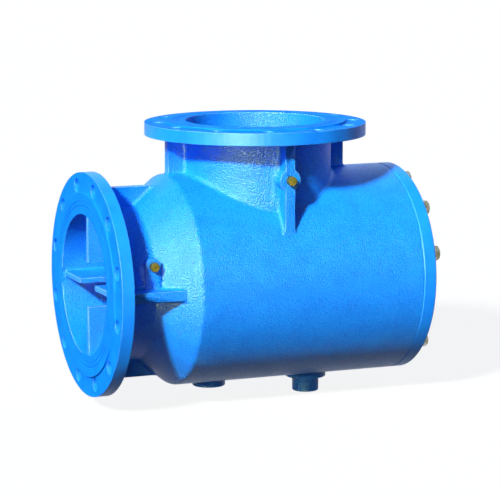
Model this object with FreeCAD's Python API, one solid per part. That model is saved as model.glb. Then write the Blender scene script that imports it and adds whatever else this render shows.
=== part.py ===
import FreeCAD, Part
import math
import os

# Angle strainer for a pump inlet, nominal bore 300 mm, drilled to the PN 16 flange pattern.
# Millimetres. X runs from the outlet flange to the cover, Z up through the inlet flange.
# The origin is the centre of the outlet flange's raised face.

V = FreeCAD.Vector
AXIS_X = V(1, 0, 0)
AXIS_Y = V(0, 1, 0)
AXIS_Z = V(0, 0, 1)

# Driving bore: every diameter follows from it by a named wall, rim or room
bore = 290.0

# Flanges
boltCircleRoom = 60.0
boltHole = 28.0
boltCount = 12
flangeRim = 25.0
flangeThick = 29.5
raisedFaceWidth = 44.0
raisedFaceHeight = 4.0
faceGrooveRooms = (16.0, 25.0)
faceGrooveWidth = 2.0
faceGrooveDepth = 1.0

# Body casting
outletNeckWall = 13.5
inletNeckWall = 13.0
bodyWall = 14.0
chamberGap = 54.5
coneStartX = 102.0
coneLength = 76.0
coneFootRadius = 14.0
coneShoulderRadius = 18.0
inletFromCone = 41.0
inletStandoff = 105.5
rimFromInlet = 130.0
bodyEndChamfer = 1.2
rimWall = 38.5
rimDepth = 48.0
rimTaper = 22.0
rimLead = 2.0
ribThick = 20.5
outletRibRise = 39.5
inletRibRise = 38.0
inletSideRibRise = 32.0
ribRoot = 8.0
ribFootZ = 20.0
flangeRoot = 9.0
inletRoot = 12.0
formOverlap = 12.0

# Flow straightening vanes in the outlet
vaneThick = 10.5
vaneReach = 98.5
vaneStartX = 8.0
vaneFromSeat = 8.0
vaneRoot = 4.0

# Bosses on the casting
inletBossDia = 44.0
inletBossDrop = 105.5
outletBossWidth = 32.0
outletBossFromCone = 10.0
outletBossZ = 57.0
outletBossRise = 6.5
outletBossDraft = 1.0
bossRoot = 6.0
footEdge = 1.5
padDia = 69.0
padFromInlet = 104.5
padDrop = 11.5
drainFromInlet = 116.0
drainCollarDia = 86.0
drainCollarDrop = 9.0
drainBossDia = 56.0
drainBossDrop = 39.8
drainThread = 41.9
drainThreadLength = 24.0
drainBore = 36.0

# Cover casting and what fastens it
coverThick = 29.0
coverEdge = 2.5
coverWeb = 18.0
spigotLength = 20.0
spigotFit = 0.08
spigotLead = 2.0
coverPanRoom = 16.0
coverPanSlope = 12.0
coverBossDia = 84.0
coverRibCount = 6
coverRibThick = 14.0
coverRibDrop = 2.0
coverLandWidth = 14.0
coverDishSlope = 6.0
coverBoltInset = 21.5
coverBoltPlaces = 12
coverBoltSize = 18.0
coverBoltLength = 60.0
coverBoltHead = 11.5
coverBoltFlats = 27.0
coverHole = 20.0
jackingThread = 16.0
jackingPlaces = (4, 9)
threadFit = 0.08
washerOd = 34.0
washerThick = 3.0
washerHole = 19.0
threadedDepth = 34.0
ringSection = 7.0
ringSqueeze = 0.9
ringSideRoom = 0.6
ringFit = 0.1
ringFromSeam = 8.0
ringCorner = 2.0

# Strainer basket
screenRoom = 5.0
screenThick = 2.5
seatFromCone = 10.0
seatDepth = 14.0
seatRingWall = 2.5
seatFit = 0.08
seatRingLength = 22.0
seatRingRoom = 0.5
seatLip = 3.0
seatLead = 0.8
gasketThick = 2.5
gasketFit = 0.3
endBandLength = 28.0
endBandThick = 2.2
endRecessDepth = 10.0
endFit = 0.3
endFaceGap = 0.3
endPlateThick = 4.0
endPlateInset = 40.0
endPlateRim = 12.0
weldRoom = 0.1
handleBarWidth = 25.0
handleBarThick = 5.0
handleWidth = 110.0
handleBend = 18.0
handleReach = 29.0
hoopCount = 2
hoopWidth = 20.0
hoopThick = 3.0
meshThick = 0.8
meshFit = 0.3
meshEndGap = 4.0
clampWidth = 12.0
clampThick = 0.9
clampInset = 10.0
clampHousingLength = 14.0
clampHousingWidth = 26.0
clampHousingHeight = 9.0
clampHousingRound = 3.0
clampScrewDia = 6.0
clampScrewHead = 6.0
clampScrewFlats = 8.0

# Gauge tapping plugs, thread size 1/4 inch pipe
plugThread = 13.2
plugThreadLength = 14.0
plugFlats = 17.0
plugHead = 10.5
plugWasherOd = 19.0
plugWasherThick = 1.5
plugWasherRoom = 0.3
tappingBore = 10.0
tappingReach = 25.0

# Drain plug, flush in its boss
drainPlugLength = 18.0
drainPlugInset = 1.5
drainSocketFlats = 19.0
drainSocketDepth = 11.0

# Margins for telling edges of the casting apart
matchRoom = 0.05
turnedRoom = 0.3
rimClear = 5.0

screenOd = bore + 2 * screenRoom
seatRingOd = screenOd + 2 * seatRingWall
seatRingBore = bore + 2 * seatRingRoom
boltCircle = bore + 2 * boltCircleRoom
flangeOd = boltCircle + 2 * flangeRim
raisedFaceOd = bore + 2 * raisedFaceWidth
outletNeckOd = bore + 2 * outletNeckWall
inletNeckOd = bore + 2 * inletNeckWall
chamberRadius = screenOd / 2 + chamberGap
bodyRadius = chamberRadius + bodyWall
rimBore = 2 * (bodyRadius - rimWall)
coverBoltCircle = 2 * (bodyRadius - coverBoltInset)
coverPanDia = rimBore - 2 * coverPanRoom
coneSlope = (bodyRadius - outletNeckOd / 2) / coneLength
coneEndX = coneStartX + coneLength
inletX = coneEndX + inletNeckOd / 2 + inletFromCone
inletFaceZ = bodyRadius + inletStandoff
bodyEndX = inletX + inletNeckOd / 2 + rimFromInlet
outletRibReach = outletNeckOd / 2 + outletRibRise
inletRibReach = inletNeckOd / 2 + inletRibRise
inletSideRibReach = inletNeckOd / 2 + inletSideRibRise
seatRingX = coneStartX + seatFromCone
vaneEndX = seatRingX - vaneFromSeat
inletBossZ = inletFaceZ - inletBossDrop
outletBossX = coneStartX - outletBossFromCone
outletBossFaceY = outletNeckOd / 2 + outletBossRise
padX = inletX - padFromInlet
padBottomZ = -bodyRadius - padDrop
drainX = inletX + drainFromInlet
drainCollarZ = -bodyRadius - drainCollarDrop
drainBossZ = -bodyRadius - drainBossDrop
coverFaceX = bodyEndX + coverThick
spigotX = bodyEndX - spigotLength
recessRadius = screenOd / 2 + endBandThick + endFit
screenEndX = spigotX + endRecessDepth - endFaceGap
screenInner = screenOd / 2 - screenThick
screenStartX = seatRingX + gasketThick + seatLip
endPlateX = screenEndX - endPlateInset - endPlateThick
coverBoltTip = coverFaceX + washerThick - coverBoltLength


def outline(points, radii=None):
    """Closed wire through the points, with tangent arcs at its corners where radii are given."""
    count = len(points)
    radii = radii or [0] * count
    starts = []
    ends = []
    for i in range(count):
        here = points[i]
        back = points[i - 1] - here
        ahead = points[(i + 1) % count] - here
        back.normalize()
        ahead.normalize()
        if radii[i] <= 0:
            starts.append(here)
            ends.append(here)
            continue
        half = back.getAngle(ahead) / 2
        cut = radii[i] / math.tan(half)
        starts.append(here + back * cut)
        ends.append(here + ahead * cut)
    edges = []
    for i in range(count):
        if radii[i] > 0:
            here = points[i]
            bisector = (starts[i] - here) + (ends[i] - here)
            bisector.normalize()
            reach = math.hypot(radii[i], (starts[i] - here).Length) - radii[i]
            edges.append(Part.Arc(starts[i], here + bisector * reach, ends[i]).toShape())
        after = starts[(i + 1) % count]
        if (after - ends[i]).Length > 1e-6:
            edges.append(Part.LineSegment(ends[i], after).toShape())
    return Part.Wire(edges)


def turned(profile, radii=None):
    """Solid of revolution about X from (x, radius) pairs."""
    points = [V(x, 0, r) for x, r in profile]
    return Part.Face(outline(points, radii)).revolve(V(0, 0, 0), AXIS_X, 360)


def tube(outer, inner, start, end):
    """Ring about the X axis."""
    return turned([(start, inner), (start, outer), (end, outer), (end, inner)])


def rod(diameter, start, end):
    """Cylinder between two points."""
    run = end - start
    return Part.makeCylinder(diameter / 2, run.Length, start, run)


def hexagon(flats, start, length, direction):
    """Hexagonal prism from start."""
    across = flats / math.sqrt(3)
    angles = [math.radians(60 * k) for k in range(6)]
    corners = [V(across * math.cos(angle), across * math.sin(angle), 0) for angle in angles]
    solid = Part.Face(outline(corners)).extrude(V(0, 0, length))
    solid.Placement = FreeCAD.Placement(start, FreeCAD.Rotation(AXIS_Z, direction))
    return solid


def flangeBlank(neckOd):
    """Flange disc about X with its raised face at x = 0 and a coned root on its neck, before drilling."""
    od = flangeOd / 2
    face = raisedFaceOd / 2
    neck = neckOd / 2
    return turned([
        (0, 0), (0, face), (raisedFaceHeight, face), (raisedFaceHeight, od), (flangeThick, od),
        (flangeThick, neck + flangeRoot), (flangeThick + flangeRoot, neck), (flangeThick + flangeRoot, 0)])


def flangeCuts():
    """Bolt holes and gasket grooves of one flange."""
    cuts = []
    for k in range(boltCount):
        angle = math.radians(360.0 / boltCount * (k + 0.5))
        y = boltCircle / 2 * math.cos(angle)
        z = boltCircle / 2 * math.sin(angle)
        cuts.append(rod(boltHole, V(-1, y, z), V(flangeThick + 1, y, z)))
    for room in faceGrooveRooms:
        middle = bore / 2 + room
        cuts.append(tube(middle + faceGrooveWidth / 2, middle - faceGrooveWidth / 2,
                         -1, faceGrooveDepth))
    return cuts


def toInlet(shape):
    """Turn a shape made about the outlet axis so that it stands on the inlet."""
    copy = shape.copy()
    copy.rotate(V(0, 0, 0), AXIS_Y, 90)
    copy.translate(V(inletX, 0, inletFaceZ))
    return copy


def along(edge):
    """Points spread over an edge."""
    span = edge.LastParameter - edge.FirstParameter
    return [edge.valueAt(edge.FirstParameter + span * share) for share in (0.02, 0.3, 0.5, 0.7, 0.98)]


def near(value, wanted, room=matchRoom):
    return abs(value - wanted) < room


def rounded(shape, radiusOf):
    """Round the edges that radiusOf gives a radius for, from points along each edge."""
    plan = []
    for number, edge in enumerate(shape.Edges, 1):
        radius = radiusOf(along(edge))
        if radius:
            plan.append((number, radius, radius))
    document = FreeCAD.newDocument("rounding")
    base = document.addObject("Part::Feature", "base")
    base.Shape = shape
    fillet = document.addObject("Part::Fillet", "fillet")
    fillet.Base = base
    fillet.Edges = plan
    fillet.recompute()
    return fillet.Shape


def aboutOutlet(p):
    return math.hypot(p.y, p.z)


def aboutInlet(p):
    return math.hypot(p.x - inletX, p.y)


def onTurned(p):
    """Whether a point lies on the outlet neck, the cone or the barrel."""
    cone = outletNeckOd / 2 + (p.x - coneStartX) * coneSlope
    radius = min(max(outletNeckOd / 2, cone), bodyRadius)
    return (near(aboutOutlet(p), radius, turnedRoom)
            and flangeThick - matchRoom < p.x < bodyEndX - rimClear)


def castingRadius(points):
    """Radius for an edge of the plain casting form, or None where it stays sharp."""
    half = ribThick / 2
    inletRibCorner = math.hypot(inletRibReach, half) + matchRoom
    turnedEdge = all(onTurned(p) for p in points)
    coneEdge = turnedEdge and all(p.x < coneEndX for p in points)
    neckEdge = all(near(aboutInlet(p), inletNeckOd / 2) and p.z > ribFootZ for p in points)
    sideY = all(near(abs(p.y), half) for p in points)
    sideZ = all(near(abs(p.z), half) for p in points)
    sideX = all(near(abs(p.x - inletX), half) for p in points)
    ribTop = all(near(max(abs(p.y), abs(p.z)), outletRibReach) for p in points)
    if all(near(p.x, coneStartX) and near(aboutOutlet(p), outletNeckOd / 2) for p in points):
        return coneFootRadius
    if turnedEdge and neckEdge:
        return inletRoot
    if neckEdge and (sideX or sideY):
        return ribRoot
    if coneEdge and (sideY or sideZ or ribTop):
        return ribRoot
    ribEnd = all(p.z > ribFootZ and inletNeckOd / 2 - matchRoom < aboutInlet(p) < inletRibCorner
                 for p in points)
    if turnedEdge and ribEnd and not all(near(p.y, 0) for p in points):
        return ribRoot
    return None


def ribs(reachAlong, reachAcross, length):
    """Four radial ribs about Z."""
    solids = []
    for k in range(4):
        reach = reachAcross if k % 2 else reachAlong
        rib = Part.makeBox(reach, ribThick, length, V(0, -ribThick / 2, 0))
        rib.rotate(V(0, 0, 0), AXIS_Z, 90 * k)
        solids.append(rib)
    return solids


def castingForm():
    """Outside of the body casting without its bosses: barrel, cone, necks, ribs and flanges."""
    barrel = turned(
        [(formOverlap, 0), (formOverlap, outletNeckOd / 2), (coneStartX, outletNeckOd / 2),
         (coneEndX, bodyRadius), (bodyEndX - bodyEndChamfer, bodyRadius),
         (bodyEndX, bodyRadius - bodyEndChamfer), (bodyEndX, 0)],
        [0, 0, 0, coneShoulderRadius, 0, 0, 0])
    inletTop = inletFaceZ - formOverlap
    limbs = [Part.makeCylinder(inletNeckOd / 2, inletTop, V(inletX, 0, 0), AXIS_Z)]
    for rib in ribs(inletRibReach, inletSideRibReach, inletTop - ribFootZ):
        rib.translate(V(inletX, 0, ribFootZ))
        limbs.append(rib)
    for rib in ribs(outletRibReach, outletRibReach, coneEndX - formOverlap):
        rib.rotate(V(0, 0, 0), AXIS_Y, 90)
        rib.translate(V(formOverlap, 0, 0))
        limbs.append(rib)
    limbs += [flangeBlank(outletNeckOd), toInlet(flangeBlank(inletNeckOd))]
    return rounded(barrel.fuse(limbs).removeSplitter(), castingRadius)


def slotBoss():
    """Drafted boss of the outlet gauge tapping: round at the top, running down to the rib."""
    def section(grow, y):
        half = outletBossWidth / 2 + grow
        low = V(outletBossX, y, 0)
        left = V(outletBossX - half, y, 0)
        right = V(outletBossX + half, y, 0)
        return Part.Wire([
            Part.LineSegment(right, right + V(0, 0, outletBossZ)).toShape(),
            Part.Arc(right + V(0, 0, outletBossZ), low + V(0, 0, outletBossZ + half),
                     left + V(0, 0, outletBossZ)).toShape(),
            Part.LineSegment(left + V(0, 0, outletBossZ), left).toShape(),
            Part.LineSegment(left, right).toShape()])
    root = -(bore / 2 - tappingReach)
    return Part.makeLoft([section(outletBossDraft, root), section(0, -outletBossFaceY)], True, True)


def foot(diameter, x, bottom):
    """Round boss under the barrel with a chamfered lower edge."""
    top = -chamberRadius - bossRoot
    outside = turned([
        (0, 0), (0, diameter / 2 - footEdge), (footEdge, diameter / 2), (top - bottom, diameter / 2),
        (top - bottom, 0)])
    outside.rotate(V(0, 0, 0), AXIS_Y, -90)
    outside.translate(V(x, 0, bottom))
    return outside


def vaneRadius(points):
    """Radius for the edges along the roots of the vanes, or None."""
    for p in points:
        side = near(min(abs(p.y), abs(p.z)), vaneThick / 2)
        if not (side and near(aboutOutlet(p), bore / 2) and vaneStartX - 1 < p.x < vaneEndX + 1):
            return None
    return vaneRoot


def hollowForm():
    """Turned space inside the body: outlet bore, seat of the basket, cone, chamber and rim."""
    slopeGap = bodyWall / math.cos(math.atan(coneSlope))
    seatEnd = seatRingX + seatDepth
    innerCone = outletNeckOd / 2 + (seatEnd - coneStartX) * coneSlope - slopeGap
    innerConeEnd = seatEnd + (chamberRadius - innerCone) / coneSlope
    rimStart = bodyEndX - rimDepth
    return turned([
        (-1, 0), (-1, bore / 2), (seatRingX, bore / 2), (seatRingX, seatRingOd / 2),
        (seatEnd, seatRingOd / 2), (seatEnd, innerCone), (innerConeEnd, chamberRadius),
        (rimStart - rimTaper, chamberRadius), (rimStart, rimBore / 2),
        (bodyEndX - rimLead, rimBore / 2), (bodyEndX, rimBore / 2 + rimLead),
        (bodyEndX + 1, rimBore / 2 + rimLead), (bodyEndX + 1, 0)])


def vanes():
    """Four plates that stand in from the bore and leave the middle open."""
    tip = bore / 2 - vaneReach
    solids = []
    for k in range(4):
        vane = Part.makeBox(vaneEndX - vaneStartX, vaneThick, vaneReach + vaneThick / 2,
                            V(vaneStartX, -vaneThick / 2, tip))
        vane.rotate(V(0, 0, 0), AXIS_X, 90 * k)
        solids.append(vane)
    return solids


def bodyHoles():
    """Flange bolt holes and grooves, tapped holes of the cover, gauge tappings and drain."""
    cuts = flangeCuts() + [toInlet(cut) for cut in flangeCuts()]
    for angle in coverBoltAngles():
        y, z = onCircle(coverBoltCircle, angle)
        cuts.append(rod(coverBoltSize + 2 * threadFit,
                        V(bodyEndX - threadedDepth, y, z), V(bodyEndX + 1, y, z)))
    for x, z, face in tappings():
        cuts.append(rod(plugThread + 2 * threadFit,
                        V(x, -face - 1, z), V(x, -face + plugThreadLength + 1, z)))
        cuts.append(rod(tappingBore, V(x, -face, z), V(x, tappingReach - bore / 2, z)))
    cuts.append(rod(drainThread + 2 * threadFit,
                    V(drainX, 0, drainBossZ - 1), V(drainX, 0, drainBossZ + drainThreadLength)))
    cuts.append(rod(drainBore, V(drainX, 0, drainBossZ), V(drainX, 0, -chamberRadius + bossRoot)))
    return cuts


def makeBody():
    bosses = [
        rod(inletBossDia, V(inletX, -bore / 2 - bossRoot, inletBossZ),
            V(inletX, -inletSideRibReach, inletBossZ)),
        slotBoss(),
        foot(padDia, padX, padBottomZ),
        foot(drainCollarDia, drainX, drainCollarZ),
        foot(drainBossDia, drainX, drainBossZ),
    ]
    outside = castingForm().fuse(bosses).removeSplitter()
    inletBore = Part.makeCylinder(bore / 2, inletFaceZ + 1, V(inletX, 0, 0), AXIS_Z)
    shell = outside.cut([hollowForm(), inletBore])
    vaned = rounded(shell.fuse(vanes()).removeSplitter(), vaneRadius)
    return vaned.cut(bodyHoles()).removeSplitter()


def onCircle(diameter, angle):
    """Y and Z of a place on a circle about X, with the angle from Z towards -Y."""
    return -diameter / 2 * math.sin(math.radians(angle)), diameter / 2 * math.cos(math.radians(angle))


def coverPlaceAngles():
    return [360.0 / coverBoltPlaces * (k + 0.5) for k in range(coverBoltPlaces)]


def coverBoltAngles():
    """Bolt places, without the two that hold jacking threads."""
    return [angle for k, angle in enumerate(coverPlaceAngles()) if k + 1 not in jackingPlaces]


def jackingAngles():
    return [angle for k, angle in enumerate(coverPlaceAngles()) if k + 1 in jackingPlaces]


def tappings():
    """Place of each gauge tapping: x, z and the distance of its face from the centre plane."""
    return [(outletBossX, outletBossZ, outletBossFaceY), (inletX, inletBossZ, inletSideRibReach)]


def makeCover():
    edge = coverEdge
    webFace = bodyEndX + coverWeb
    pan = coverPanDia / 2
    land = recessRadius - coverLandWidth
    landX = spigotX + endRecessDepth
    radius = rimBore / 2 - spigotFit
    grooveStart, grooveEnd = grooveSpan()
    grooveFloor = grooveRadius()
    blank = turned([
        (bodyEndX, radius), (bodyEndX, bodyRadius - edge), (bodyEndX + edge, bodyRadius),
        (coverFaceX - edge, bodyRadius), (coverFaceX, bodyRadius - edge), (coverFaceX, pan),
        (webFace, pan - coverPanSlope), (webFace, 0), (bodyEndX, 0), (bodyEndX, land - coverDishSlope),
        (landX, land), (landX, recessRadius), (spigotX, recessRadius), (spigotX, radius - spigotLead),
        (spigotX + spigotLead, radius), (grooveStart, radius), (grooveStart, grooveFloor),
        (grooveEnd, grooveFloor), (grooveEnd, radius)])
    boss = rod(coverBossDia, V(webFace - 1, 0, 0), V(coverFaceX - coverRibDrop, 0, 0))
    ribs = []
    for k in range(coverRibCount):
        rib = Part.makeBox(coverFaceX - coverRibDrop - webFace + 1, coverRibThick, pan + 1,
                           V(webFace - 1, -coverRibThick / 2, 0))
        rib.rotate(V(0, 0, 0), AXIS_X, 360.0 / coverRibCount * k)
        ribs.append(rib)
    solid = blank.fuse([boss] + ribs)
    cuts = []
    for angle in coverBoltAngles():
        y, z = onCircle(coverBoltCircle, angle)
        cuts.append(rod(coverHole, V(bodyEndX - 1, y, z), V(coverFaceX + 1, y, z)))
    for angle in jackingAngles():
        y, z = onCircle(coverBoltCircle, angle)
        cuts.append(rod(jackingThread, V(bodyEndX - 1, y, z), V(coverFaceX + 1, y, z)))
    return solid.cut(cuts).removeSplitter()


def grooveSpan():
    middle = bodyEndX - ringFromSeam
    half = (ringSection + 2 * ringSideRoom) / 2
    return middle - half, middle + half


def grooveRadius():
    return rimBore / 2 - ringFit - ringSection + ringSqueeze


def makeCoverRing():
    """Rubber ring in the spigot groove, flattened against the groove floor and the rim bore."""
    low = grooveRadius() + ringFit
    high = rimBore / 2 - ringFit
    start, end = grooveSpan()
    start += ringSideRoom
    end -= ringSideRoom
    corner = ringCorner
    return turned([
        (start, low + corner), (start, high - corner), (start + corner, high), (end - corner, high),
        (end, high - corner), (end, low + corner), (end - corner, low), (start + corner, low)])


def makeCoverBolts():
    headX = coverFaceX + washerThick
    bolts = []
    for angle in coverBoltAngles():
        y, z = onCircle(coverBoltCircle, angle)
        shank = rod(coverBoltSize, V(coverBoltTip, y, z), V(headX, y, z))
        head = hexagon(coverBoltFlats, V(headX, y, z), coverBoltHead, AXIS_X)
        bolts += shank.fuse(head).removeSplitter().Solids
    return Part.makeCompound(bolts)


def makeCoverWashers():
    rings = []
    for angle in coverBoltAngles():
        y, z = onCircle(coverBoltCircle, angle)
        ring = tube(washerOd / 2, washerHole / 2, coverFaceX, coverFaceX + washerThick)
        ring.translate(V(0, y, z))
        rings.append(ring)
    return Part.makeCompound(rings)


def makeScreen():
    return tube(screenOd / 2, screenInner, screenStartX, screenEndX)


def makeSeatRing():
    """Machined ring that the screen is welded into, with a lip at its end."""
    start = seatRingX + gasketThick
    end = start + seatRingLength
    inner = seatRingBore / 2
    outer = seatRingOd / 2 - seatFit
    return turned([
        (start, inner), (start, outer - seatLead), (start + seatLead, outer), (end, outer),
        (end, screenOd / 2 + weldRoom), (screenStartX, screenOd / 2 + weldRoom), (screenStartX, inner)])


def makeScreenGasket():
    return tube(seatRingOd / 2 - gasketFit, bore / 2 + gasketFit, seatRingX, seatRingX + gasketThick)


def makeEndBand():
    """Band round the end of the screen that enters the recess of the cover."""
    inner = screenOd / 2 + weldRoom
    outer = recessRadius - endFit
    start = screenEndX - endBandLength
    return turned([
        (start, inner), (start, outer), (screenEndX - seatLead, outer),
        (screenEndX, outer - seatLead), (screenEndX, inner)])


def makeEndPlate():
    """Disc that closes the basket, with a turned-up rim on its outer side."""
    outer = screenInner - weldRoom
    face = endPlateX + endPlateThick
    top = endPlateX + endPlateRim
    bend = endPlateThick / 2
    return turned([
        (endPlateX, 0), (endPlateX, outer - bend), (endPlateX + bend, outer), (top, outer),
        (top, outer - endPlateThick), (face, outer - endPlateThick), (face, 0)])


def makeHandle():
    """Flat bar on the end plate, bent to a bail."""
    half = handleWidth / 2
    bar = handleBarThick
    plate = endPlateX + endPlateThick
    top = plate + handleReach
    side = outline(
        [V(plate, -half, 0), V(top, -half, 0), V(top, half, 0), V(plate, half, 0),
         V(plate, half - bar, 0), V(top - bar, half - bar, 0), V(top - bar, bar - half, 0),
         V(plate, bar - half, 0)],
        [0, handleBend, handleBend, 0, 0, handleBend - bar, handleBend - bar, 0])
    solid = Part.Face(side).extrude(V(0, 0, handleBarWidth))
    solid.translate(V(0, 0, -handleBarWidth / 2))
    return solid


def makeHoops():
    """Stiffening hoops inside the screen."""
    outer = screenInner - weldRoom
    start = seatRingX + gasketThick + seatRingLength
    pitch = (endPlateX - start) / (hoopCount + 1)
    hoops = []
    for k in range(hoopCount):
        middle = start + pitch * (k + 1)
        hoops.append(tube(outer, outer - hoopThick, middle - hoopWidth / 2, middle + hoopWidth / 2))
    return Part.makeCompound(hoops)


def meshSpan():
    return (seatRingX + gasketThick + seatRingLength + meshEndGap,
            screenEndX - endBandLength - meshEndGap)


def makeMesh():
    start, end = meshSpan()
    inner = screenOd / 2 + meshFit
    return tube(inner + meshThick, inner, start, end)


def clampPlaces():
    """Middles of the two clamps that hold the mesh sleeve."""
    start, end = meshSpan()
    return start + clampInset + clampWidth / 2, end - clampInset - clampWidth / 2


def clampRadius():
    return screenOd / 2 + meshFit + meshThick + weldRoom


def clampScrewZ():
    return clampRadius() + clampHousingHeight / 2


def makeClampBands():
    """Band of each clamp with the housing of its screw."""
    inner = clampRadius()
    half = clampHousingLength / 2
    corner = clampHousingRound
    bands = []
    for x in clampPlaces():
        band = tube(inner + clampThick, inner, x - clampWidth / 2, x + clampWidth / 2)
        side = outline([
            V(x - half, 0, inner), V(x + half, 0, inner), V(x + half, 0, inner + clampHousingHeight),
            V(x - half, 0, inner + clampHousingHeight)], [0, 0, corner, corner])
        housing = Part.Face(side).extrude(V(0, clampHousingWidth, 0))
        housing.translate(V(0, -clampHousingWidth / 2, 0))
        around = tube(inner, inner / 2, x - half - 1, x + half + 1)
        hole = rod(clampScrewDia + 2 * weldRoom, V(x, -clampHousingWidth, clampScrewZ()),
                   V(x, clampHousingWidth, clampScrewZ()))
        bands += band.fuse(housing).cut([around, hole]).removeSplitter().Solids
    return Part.makeCompound(bands)


def makeClampScrews():
    screws = []
    for x in clampPlaces():
        start = V(x, clampHousingWidth / 2, clampScrewZ())
        under = V(x, -clampHousingWidth / 2, clampScrewZ())
        head = hexagon(clampScrewFlats, under, clampScrewHead, V(0, -1, 0))
        screws += rod(clampScrewDia, start, under).fuse(head).removeSplitter().Solids
    return Part.makeCompound(screws)


def makeGaugePlug(x, z, face):
    """Hexagon plug entered along Y."""
    under = V(x, -face - plugWasherThick, z)
    shank = rod(plugThread, V(x, plugThreadLength - face, z), under)
    head = hexagon(plugFlats, under, plugHead, V(0, -1, 0))
    return head.fuse(shank).removeSplitter()


def makePlugWasher(x, z, face):
    ring = tube(plugWasherOd / 2, plugThread / 2 + plugWasherRoom, 0, plugWasherThick)
    ring.rotate(V(0, 0, 0), AXIS_Z, -90)
    ring.translate(V(x, -face, z))
    return ring


def makeDrainPlug():
    """Round threaded plug with a hexagon socket, just inside the end of the drain boss."""
    start = drainBossZ + drainPlugInset
    blank = rod(drainThread, V(drainX, 0, start), V(drainX, 0, start + drainPlugLength))
    socket = hexagon(drainSocketFlats, V(drainX, 0, start - 1), drainSocketDepth + 1, AXIS_Z)
    return blank.cut(socket)


def pieces():
    outlet, inlet = tappings()
    return {
        "body_casting": makeBody(),
        "cover_casting": makeCover(),
        "cover_o_ring": makeCoverRing(),
        "cover_bolts": makeCoverBolts(),
        "cover_washers": makeCoverWashers(),
        "strainer_screen": makeScreen(),
        "screen_seat_ring": makeSeatRing(),
        "screen_seat_gasket": makeScreenGasket(),
        "screen_end_band": makeEndBand(),
        "screen_end_plate": makeEndPlate(),
        "screen_handle": makeHandle(),
        "screen_hoops": makeHoops(),
        "startup_mesh": makeMesh(),
        "mesh_clamp_bands": makeClampBands(),
        "mesh_clamp_screws": makeClampScrews(),
        "outlet_gauge_plug": makeGaugePlug(*outlet),
        "outlet_plug_washer": makePlugWasher(*outlet),
        "inlet_gauge_plug": makeGaugePlug(*inlet),
        "inlet_plug_washer": makePlugWasher(*inlet),
        "drain_plug": makeDrainPlug(),
    }


os.makedirs("parts", exist_ok=True)
for name, shape in pieces().items():
    shape.exportStep("parts/" + name + ".step")
    print(name, len(shape.Solids), "solids, valid", shape.isValid(), "volume", round(shape.Volume))
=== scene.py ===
import bmesh
import bpy
import math
from mathutils import Euler, Matrix, Vector


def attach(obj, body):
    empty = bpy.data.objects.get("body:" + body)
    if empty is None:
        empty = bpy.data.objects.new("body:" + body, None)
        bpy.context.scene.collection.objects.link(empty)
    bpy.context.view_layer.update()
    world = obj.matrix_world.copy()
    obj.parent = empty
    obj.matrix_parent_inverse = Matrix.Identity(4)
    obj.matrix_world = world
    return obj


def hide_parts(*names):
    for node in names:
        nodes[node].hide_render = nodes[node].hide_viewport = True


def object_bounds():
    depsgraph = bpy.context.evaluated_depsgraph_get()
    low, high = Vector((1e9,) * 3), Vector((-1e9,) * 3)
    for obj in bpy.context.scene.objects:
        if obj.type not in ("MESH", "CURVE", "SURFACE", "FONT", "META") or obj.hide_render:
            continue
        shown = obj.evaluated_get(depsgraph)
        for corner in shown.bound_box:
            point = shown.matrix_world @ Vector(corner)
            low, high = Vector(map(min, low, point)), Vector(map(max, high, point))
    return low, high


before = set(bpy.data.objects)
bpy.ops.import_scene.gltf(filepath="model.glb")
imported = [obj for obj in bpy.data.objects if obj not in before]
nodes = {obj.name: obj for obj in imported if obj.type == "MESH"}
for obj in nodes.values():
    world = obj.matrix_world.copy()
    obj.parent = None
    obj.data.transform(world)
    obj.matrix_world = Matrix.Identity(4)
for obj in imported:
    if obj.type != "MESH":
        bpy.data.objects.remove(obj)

# Angle strainer: blue epoxy-painted castings, plated cover bolts, brass plugs and a stainless basket.
# Metres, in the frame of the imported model: X from the outlet flange to the cover, Z up.

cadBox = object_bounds()
scene = bpy.context.scene
mm = 0.001


def colour(code):
    parts = [int(code[i:i + 2], 16) / 255 for i in (1, 3, 5)]
    linear = [p / 12.92 if p <= 0.04045 else ((p + 0.055) / 1.055) ** 2.4 for p in parts]
    return (*linear, 1.0)


def add(tree, kind, inputs=None, stops=None, **settings):
    # one node with its settings, its inputs and its colour stops; an input is a value, a socket,
    # or a node whose first output is meant
    node = tree.nodes.new(kind)
    for name, value in settings.items():
        setattr(node, name, value)
    for name, value in (inputs or {}).items():
        if isinstance(value, bpy.types.Node):
            value = value.outputs[0]
        if isinstance(value, bpy.types.NodeSocket):
            tree.links.new(value, node.inputs[name])
        else:
            node.inputs[name].default_value = value
    for number, (share, code) in enumerate(stops or []):
        if number >= len(node.color_ramp.elements):
            node.color_ramp.elements.new(share)
        node.color_ramp.elements[number].position = share
        node.color_ramp.elements[number].color = colour(code)
    return node


def perSize(size):
    return 1 / (size * mm)  # texture scale for features of this many millimetres


def newMaterial(name):
    material = bpy.data.materials.new(name)
    material.use_nodes = True
    material.node_tree.nodes.clear()
    return material, material.node_tree


scene.view_settings.view_transform = "Standard"
print("scene: frame loaded,", len(nodes), "nodes")

# camera and light, as fitted to the photograph
view = {"place": (-1.5357, -4.6786, 0.8595), "towards": (0.3718, 0.9147, -0.1583), "lens": 175.97,
        "reach": 50}
shadeTint = "#86CCFF"
sheenTint = "#D8FF90"
keyDirection = (0.657, 0.551, -0.515)
lamps = {"keyLight": {"direction": keyDirection, "strength": 6.2, "angle": 6.0},
         "frontFill": {"direction": (0.67, 0.71, -0.06), "strength": 0.4, "angle": 25.0, "tint": shadeTint},
         "backFill": {"direction": (-0.72, -0.62, -0.3), "strength": 1.3, "angle": 70.0, "tint": shadeTint}}

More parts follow.
